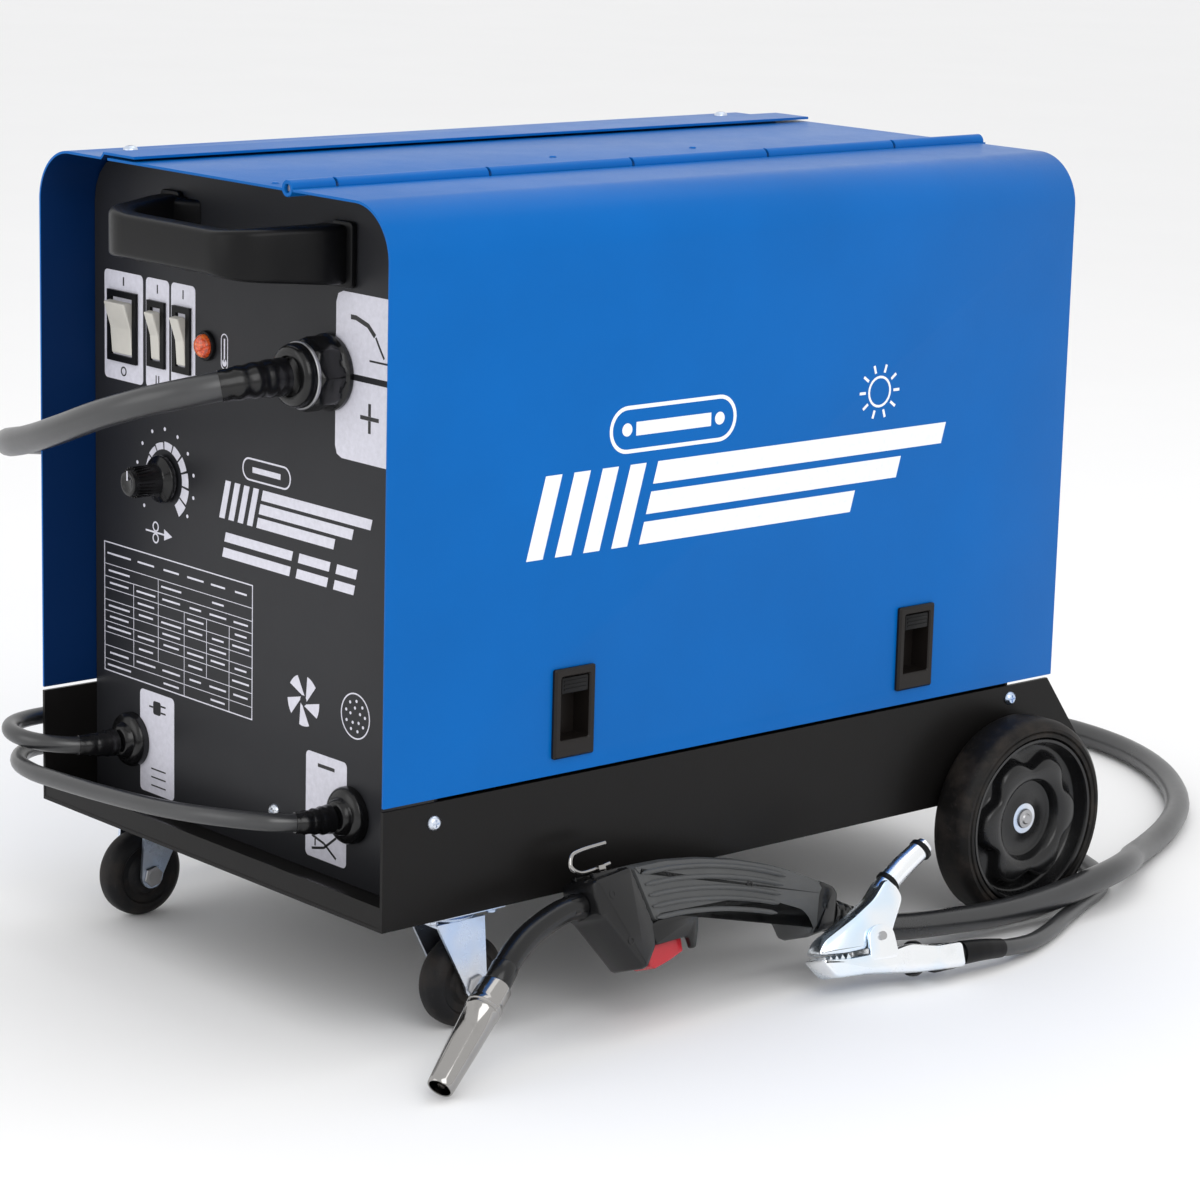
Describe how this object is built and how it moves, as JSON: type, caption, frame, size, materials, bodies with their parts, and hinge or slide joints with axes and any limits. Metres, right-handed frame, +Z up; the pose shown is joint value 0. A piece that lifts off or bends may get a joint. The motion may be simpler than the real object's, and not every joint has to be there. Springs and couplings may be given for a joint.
{
  "type": "mig welder on cart",
  "caption": "Wire-feed arc welder in a folded sheet-metal case on a tray with casters and rear wheels, with its torch, earth clamp, mains plug and a top-hinged side door.",
  "frame": {"origin": "centre of the base of the box around the machine, torch and clamp, without the leads, on the floor", "axes": "+X to the latched side door, +Y to the rear wheels, +Z up"},
  "size_m": [0.4946, 0.8911, 0.4615],
  "materials": {
    "blue_powder_coat": "satin powder coat",
    "black_powder_coat": "satin powder coat",
    "grey_panel_paint": "matt paint with printed marks",
    "black_plastic": "moulded",
    "grey_plastic": "moulded, ribbed",
    "ivory_plastic": "moulded",
    "amber_lens": "clear lens",
    "red_plastic": "moulded",
    "cable_rubber": "smooth sheath",
    "tyre_rubber": "moulded",
    "zinc_plate": "bright zinc",
    "bright_chrome": "polished",
    "plain_steel": "turned or pressed",
    "copper": "coppered wire"
  },
  "bodies": {
    "machine": {"chassis_tray": "black_powder_coat", "front_panel": "grey_panel_paint", "rear_panel": "grey_panel_paint", "left_cover": "blue_powder_coat", "roof_panel": "blue_powder_coat", "hinge_pin": "plain_steel", "divider": "grey_panel_paint", "front_handle": "black_plastic", "power_switch_body": "black_plastic", "range_switch_body": "black_plastic", "step_switch_body": "black_plastic", "indicator_lamp": "amber_lens", "torch_outlet": "black_plastic", "mains_grommet": "cable_rubber", "earth_grommet": "cable_rubber", "axle_bracket": "black_powder_coat", "rear_axle": "plain_steel", "caster_plate_left": "zinc_plate", "caster_plate_right": "zinc_plate", "transformer_core": "plain_steel", "transformer_coil": "copper", "spool_hub": "black_plastic", "feed_motor": "plain_steel", "gas_inlet": "zinc_plate", "swan_neck": "black_plastic", "torch_handle": "grey_plastic", "torch_nozzle": "bright_chrome", "torch_hook": "zinc_plate", "clamp_lower_jaw": "zinc_plate", "clamp_pin": "plain_steel", "torch_lead": "cable_rubber", "earth_lead": "cable_rubber", "mains_lead": "cable_rubber", "mains_coil": "cable_rubber", "mains_plug": "cable_rubber"},
    "door": {"side_door": "blue_powder_coat", "latch_housing_front": "black_plastic", "latch_housing_rear": "black_plastic"},
    "front_latch": {"latch_slider_front": "black_plastic"},
    "rear_latch": {"latch_slider_rear": "black_plastic"},
    "power_switch": {"power_rocker": "ivory_plastic"},
    "range_switch": {"range_rocker": "ivory_plastic"},
    "step_switch": {"step_rocker": "ivory_plastic"},
    "knob": {"speed_knob": "black_plastic"},
    "left_fork": {"caster_fork_left": "zinc_plate", "caster_axle_left": "plain_steel"},
    "right_fork": {"caster_fork_right": "zinc_plate", "caster_axle_right": "plain_steel"},
    "left_caster_wheel": {"caster_wheel_left": "tyre_rubber"},
    "right_caster_wheel": {"caster_wheel_right": "tyre_rubber"},
    "left_rear_wheel": {"rear_tyre_left": "tyre_rubber", "rear_hub_left": "black_plastic"},
    "right_rear_wheel": {"rear_tyre_right": "tyre_rubber", "rear_hub_right": "black_plastic"},
    "spool": {"wire_spool": "copper"},
    "feed_roller": {"drive_roller": "plain_steel"},
    "feed_arm": {"pressure_arm": "zinc_plate"},
    "fan": {"cooling_fan": "black_plastic"},
    "trigger": {"torch_trigger": "red_plastic"},
    "clamp_jaw": {"clamp_upper_jaw": "zinc_plate"}
  },
  "joints": [
    {"name": "door_hinge", "type": "hinge", "parent": "machine", "child": "door", "pos_m": [0.04388, -0.008, 0.457], "axis": [0, -1, 0], "range_deg": [0, 150]},
    {"name": "front_latch_slide", "type": "slide", "parent": "door", "child": "front_latch", "axis": [0, 0, -1], "range_m": [0, 0.006], "stiffness_N_per_m": 250},
    {"name": "rear_latch_slide", "type": "slide", "parent": "door", "child": "rear_latch", "axis": [0, 0, -1], "range_m": [0, 0.006], "stiffness_N_per_m": 250},
    {"name": "power_rocker_pivot", "type": "hinge", "parent": "machine", "child": "power_switch", "pos_m": [-0.16062, -0.2295, 0.355], "axis": [-1, 0, 0], "range_deg": [0, 22]},
    {"name": "range_rocker_pivot", "type": "hinge", "parent": "machine", "child": "range_switch", "pos_m": [-0.12662, -0.2295, 0.355], "axis": [-1, 0, 0], "range_deg": [0, 22]},
    {"name": "step_rocker_pivot", "type": "hinge", "parent": "machine", "child": "step_switch", "pos_m": [-0.10162, -0.2295, 0.355], "axis": [-1, 0, 0], "range_deg": [0, 22]},
    {"name": "speed_knob_turn", "type": "hinge", "parent": "machine", "child": "knob", "pos_m": [-0.11912, -0.2295, 0.273], "axis": [0, 1, 0], "range_deg": [0, 270]},
    {"name": "left_caster_swivel", "type": "hinge", "parent": "machine", "child": "left_fork", "pos_m": [-0.16612, -0.2025, 0.05], "axis": [0, 0, 1], "continuous": true},
    {"name": "left_caster_spin", "type": "hinge", "parent": "left_fork", "child": "left_caster_wheel", "pos_m": [-0.16612, -0.2155, 0.026], "axis": [1, 0, 0], "continuous": true},
    {"name": "right_caster_swivel", "type": "hinge", "parent": "machine", "child": "right_fork", "pos_m": [0.10588, -0.2025, 0.05], "axis": [0, 0, 1], "continuous": true},
    {"name": "right_caster_spin", "type": "hinge", "parent": "right_fork", "child": "right_caster_wheel", "pos_m": [0.10588, -0.1895, 0.026], "axis": [1, 0, 0], "continuous": true},
    {"name": "left_rear_wheel_spin", "type": "hinge", "parent": "machine", "child": "left_rear_wheel", "pos_m": [-0.21012, 0.2065, 0.062], "axis": [1, 0, 0], "continuous": true},
    {"name": "right_rear_wheel_spin", "type": "hinge", "parent": "machine", "child": "right_rear_wheel", "pos_m": [0.14988, 0.2065, 0.062], "axis": [1, 0, 0], "continuous": true},
    {"name": "spool_spin", "type": "hinge", "parent": "machine", "child": "spool", "pos_m": [0.02588, 0.0795, 0.29], "axis": [1, 0, 0], "continuous": true},
    {"name": "feed_roller_spin", "type": "hinge", "parent": "machine", "child": "feed_roller", "pos_m": [0.03588, -0.1455, 0.341], "axis": [1, 0, 0], "continuous": true},
    {"name": "feed_arm_pivot", "type": "hinge", "parent": "machine", "child": "feed_arm", "pos_m": [0.03588, -0.1115, 0.376], "axis": [-1, 0, 0], "range_deg": [0, 50]},
    {"name": "fan_spin", "type": "hinge", "parent": "machine", "child": "fan", "pos_m": [-0.11012, 0.1895, 0.28], "axis": [0, 1, 0], "continuous": true},
    {"name": "trigger_pivot", "type": "hinge", "parent": "machine", "child": "trigger", "pos_m": [0.16303, -0.08931, 0.04464], "axis": [-0.9361, -0.0819, -0.342], "range_deg": [0, 5], "stiffness_Nm_per_rad": 0.5},
    {"name": "clamp_pivot", "type": "hinge", "parent": "machine", "child": "clamp_jaw", "pos_m": [0.19586, 0.03808, 0.02987], "axis": [-0.9254, 0.1632, -0.342], "range_deg": [0, 20], "stiffness_Nm_per_rad": 2}
  ]
}
